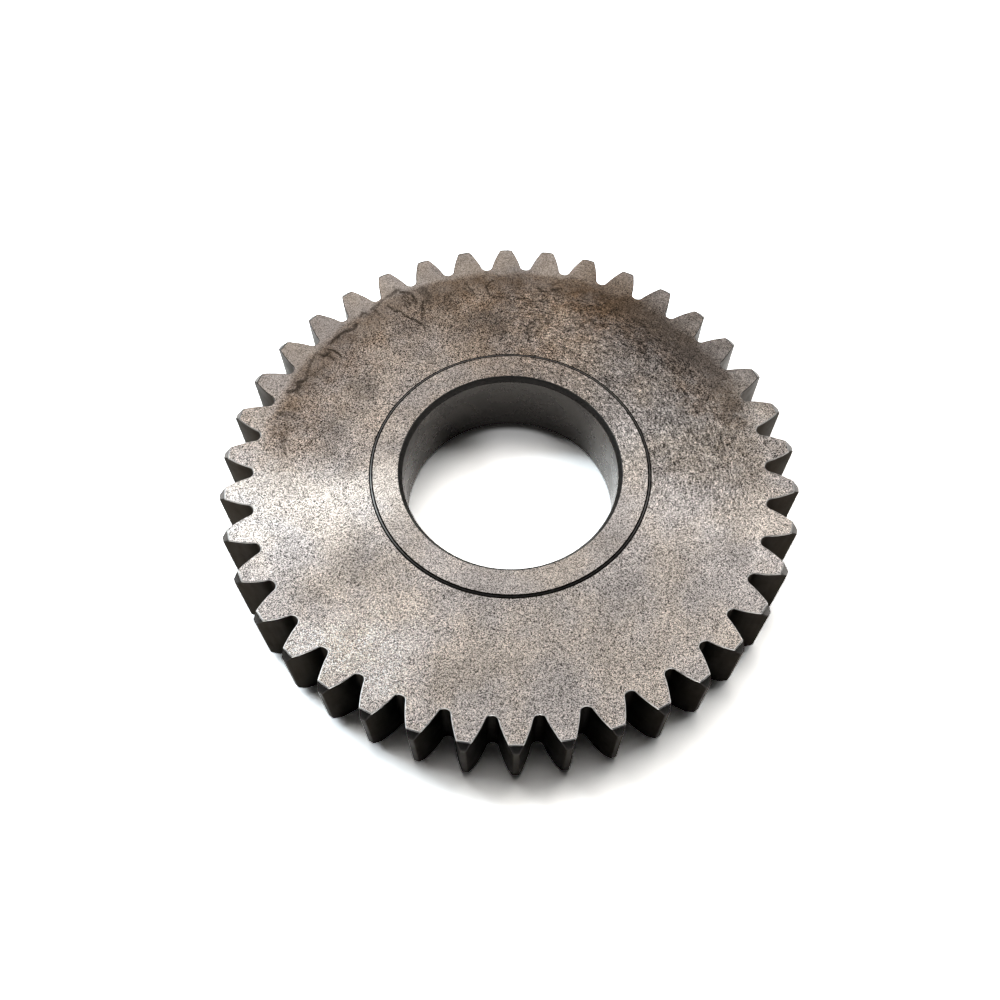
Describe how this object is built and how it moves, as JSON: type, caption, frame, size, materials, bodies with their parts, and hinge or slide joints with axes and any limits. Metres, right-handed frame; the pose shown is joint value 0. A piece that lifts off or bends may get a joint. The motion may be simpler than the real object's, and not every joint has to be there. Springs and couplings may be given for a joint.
{
  "type": "planet gear",
  "caption": "One-piece steel spur planet gear with involute teeth, chamfered tooth tips and a plain chamfered bore between slightly raised hub faces, made to turn on a planet pin.",
  "frame": {"origin": "centre of the lower hub face, on the gear's axis", "axes": "+Z along the gear's axis, out of the upper hub face; a gap between two teeth is centred on +X"},
  "size_m": [0.1202, 0.1204, 0.0186],
  "materials": {
    "gear_steel": "dull satin, blasted faces"
  },
  "bodies": {
    "root": {"planet_gear": "gear_steel"}
  },
  "joints": []
}
